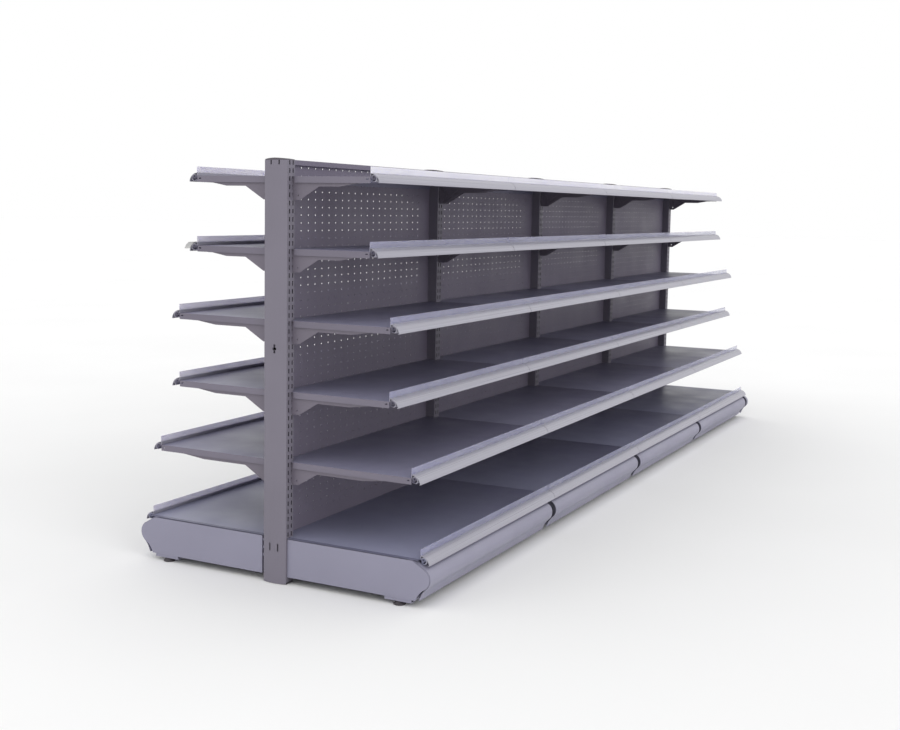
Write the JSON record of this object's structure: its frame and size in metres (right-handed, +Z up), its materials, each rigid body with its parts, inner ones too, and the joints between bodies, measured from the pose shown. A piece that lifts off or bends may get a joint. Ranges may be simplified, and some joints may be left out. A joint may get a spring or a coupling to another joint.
{
  "type": "gondola shelving unit",
  "caption": "Double-sided gondola shelving run on slotted uprights: hook-in brackets, lift-off shelves with price strips, perforated back panels and a nosed base.",
  "frame": {"origin": "on the floor under the middle of the run", "axes": "+X along the run, -Y towards the front side, +Y towards the back side, +Z up"},
  "size_m": [4.056, 1.117, 1.35],
  "materials": {
    "upright_coat": "satin powder coat",
    "panel_coat": "satin powder coat",
    "bracket_coat": "satin powder coat",
    "shelf_coat": "satin powder coat",
    "base_coat": "satin powder coat",
    "strip_plastic": "smooth extruded plastic",
    "cap_plastic": "moulded plastic",
    "black_plastic": "moulded plastic",
    "foot_plastic": "moulded plastic on a steel stem",
    "zinc_steel": "zinc plated"
  },
  "bodies": {
    "frame": {"upright_1": "upright_coat", "upright_2": "upright_coat", "upright_3": "upright_coat", "upright_4": "upright_coat", "upright_5": "upright_coat", "upright_caps": "cap_plastic", "upright_shoes": "black_plastic", "end_covers": "upright_coat", "top_rails": "panel_coat", "bottom_tie_beams": "panel_coat", "back_panel_1": "panel_coat", "back_panel_2": "panel_coat", "back_panel_3": "panel_coat", "back_panel_4": "panel_coat", "base_legs_front": "base_coat", "kick_plates_front": "base_coat", "brackets_front_short": "bracket_coat", "brackets_front_medium": "bracket_coat", "brackets_front_long": "bracket_coat", "base_legs_back": "base_coat", "kick_plates_back": "base_coat", "brackets_back_short": "bracket_coat", "brackets_back_medium": "bracket_coat", "brackets_back_long": "bracket_coat", "leg_bolts": "zinc_steel"},
    "shelf_row_front_1": {"shelves_front_1": "shelf_coat", "price_strips_front_1": "strip_plastic"},
    "shelf_row_front_2": {"shelves_front_2": "shelf_coat", "price_strips_front_2": "strip_plastic"},
    "shelf_row_front_3": {"shelves_front_3": "shelf_coat", "price_strips_front_3": "strip_plastic"},
    "shelf_row_front_4": {"shelves_front_4": "shelf_coat", "price_strips_front_4": "strip_plastic"},
    "shelf_row_front_5": {"shelves_front_5": "shelf_coat", "price_strips_front_5": "strip_plastic"},
    "deck_row_front": {"base_decks_front": "shelf_coat", "base_strips_front": "strip_plastic"},
    "levelling_foot_front_1": {"foot_front_1": "foot_plastic"},
    "levelling_foot_front_2": {"foot_front_2": "foot_plastic"},
    "levelling_foot_front_3": {"foot_front_3": "foot_plastic"},
    "levelling_foot_front_4": {"foot_front_4": "foot_plastic"},
    "levelling_foot_front_5": {"foot_front_5": "foot_plastic"},
    "shelf_row_back_1": {"shelves_back_1": "shelf_coat", "price_strips_back_1": "strip_plastic"},
    "shelf_row_back_2": {"shelves_back_2": "shelf_coat", "price_strips_back_2": "strip_plastic"},
    "shelf_row_back_3": {"shelves_back_3": "shelf_coat", "price_strips_back_3": "strip_plastic"},
    "shelf_row_back_4": {"shelves_back_4": "shelf_coat", "price_strips_back_4": "strip_plastic"},
    "shelf_row_back_5": {"shelves_back_5": "shelf_coat", "price_strips_back_5": "strip_plastic"},
    "deck_row_back": {"base_decks_back": "shelf_coat", "base_strips_back": "strip_plastic"},
    "levelling_foot_back_1": {"foot_back_1": "foot_plastic"},
    "levelling_foot_back_2": {"foot_back_2": "foot_plastic"},
    "levelling_foot_back_3": {"foot_back_3": "foot_plastic"},
    "levelling_foot_back_4": {"foot_back_4": "foot_plastic"},
    "levelling_foot_back_5": {"foot_back_5": "foot_plastic"}
  },
  "joints": [
    {"name": "lift_shelf_row_front_1", "type": "slide", "parent": "frame", "child": "shelf_row_front_1", "axis": [0, 0, 1], "range_m": [0, 0.06]},
    {"name": "lift_shelf_row_front_2", "type": "slide", "parent": "frame", "child": "shelf_row_front_2", "axis": [0, 0, 1], "range_m": [0, 0.06]},
    {"name": "lift_shelf_row_front_3", "type": "slide", "parent": "frame", "child": "shelf_row_front_3", "axis": [0, 0, 1], "range_m": [0, 0.06]},
    {"name": "lift_shelf_row_front_4", "type": "slide", "parent": "frame", "child": "shelf_row_front_4", "axis": [0, 0, 1], "range_m": [0, 0.06]},
    {"name": "lift_shelf_row_front_5", "type": "slide", "parent": "frame", "child": "shelf_row_front_5", "axis": [0, 0, 1], "range_m": [0, 0.03]},
    {"name": "lift_deck_row_front", "type": "slide", "parent": "frame", "child": "deck_row_front", "axis": [0, 0, 1], "range_m": [0, 0.06]},
    {"name": "unscrew_levelling_foot_front_1", "type": "slide", "parent": "frame", "child": "levelling_foot_front_1", "axis": [0, 0, -1], "range_m": [0, 0.015]},
    {"name": "unscrew_levelling_foot_front_2", "type": "slide", "parent": "frame", "child": "levelling_foot_front_2", "axis": [0, 0, -1], "range_m": [0, 0.015]},
    {"name": "unscrew_levelling_foot_front_3", "type": "slide", "parent": "frame", "child": "levelling_foot_front_3", "axis": [0, 0, -1], "range_m": [0, 0.015]},
    {"name": "unscrew_levelling_foot_front_4", "type": "slide", "parent": "frame", "child": "levelling_foot_front_4", "axis": [0, 0, -1], "range_m": [0, 0.015]},
    {"name": "unscrew_levelling_foot_front_5", "type": "slide", "parent": "frame", "child": "levelling_foot_front_5", "axis": [0, 0, -1], "range_m": [0, 0.015]},
    {"name": "lift_shelf_row_back_1", "type": "slide", "parent": "frame", "child": "shelf_row_back_1", "axis": [0, 0, 1], "range_m": [0, 0.06]},
    {"name": "lift_shelf_row_back_2", "type": "slide", "parent": "frame", "child": "shelf_row_back_2", "axis": [0, 0, 1], "range_m": [0, 0.06]},
    {"name": "lift_shelf_row_back_3", "type": "slide", "parent": "frame", "child": "shelf_row_back_3", "axis": [0, 0, 1], "range_m": [0, 0.06]},
    {"name": "lift_shelf_row_back_4", "type": "slide", "parent": "frame", "child": "shelf_row_back_4", "axis": [0, 0, 1], "range_m": [0, 0.06]},
    {"name": "lift_shelf_row_back_5", "type": "slide", "parent": "frame", "child": "shelf_row_back_5", "axis": [0, 0, 1], "range_m": [0, 0.03]},
    {"name": "lift_deck_row_back", "type": "slide", "parent": "frame", "child": "deck_row_back", "axis": [0, 0, 1], "range_m": [0, 0.06]},
    {"name": "unscrew_levelling_foot_back_1", "type": "slide", "parent": "frame", "child": "levelling_foot_back_1", "axis": [0, 0, -1], "range_m": [0, 0.015]},
    {"name": "unscrew_levelling_foot_back_2", "type": "slide", "parent": "frame", "child": "levelling_foot_back_2", "axis": [0, 0, -1], "range_m": [0, 0.015]},
    {"name": "unscrew_levelling_foot_back_3", "type": "slide", "parent": "frame", "child": "levelling_foot_back_3", "axis": [0, 0, -1], "range_m": [0, 0.015]},
    {"name": "unscrew_levelling_foot_back_4", "type": "slide", "parent": "frame", "child": "levelling_foot_back_4", "axis": [0, 0, -1], "range_m": [0, 0.015]},
    {"name": "unscrew_levelling_foot_back_5", "type": "slide", "parent": "frame", "child": "levelling_foot_back_5", "axis": [0, 0, -1], "range_m": [0, 0.015]}
  ]
}
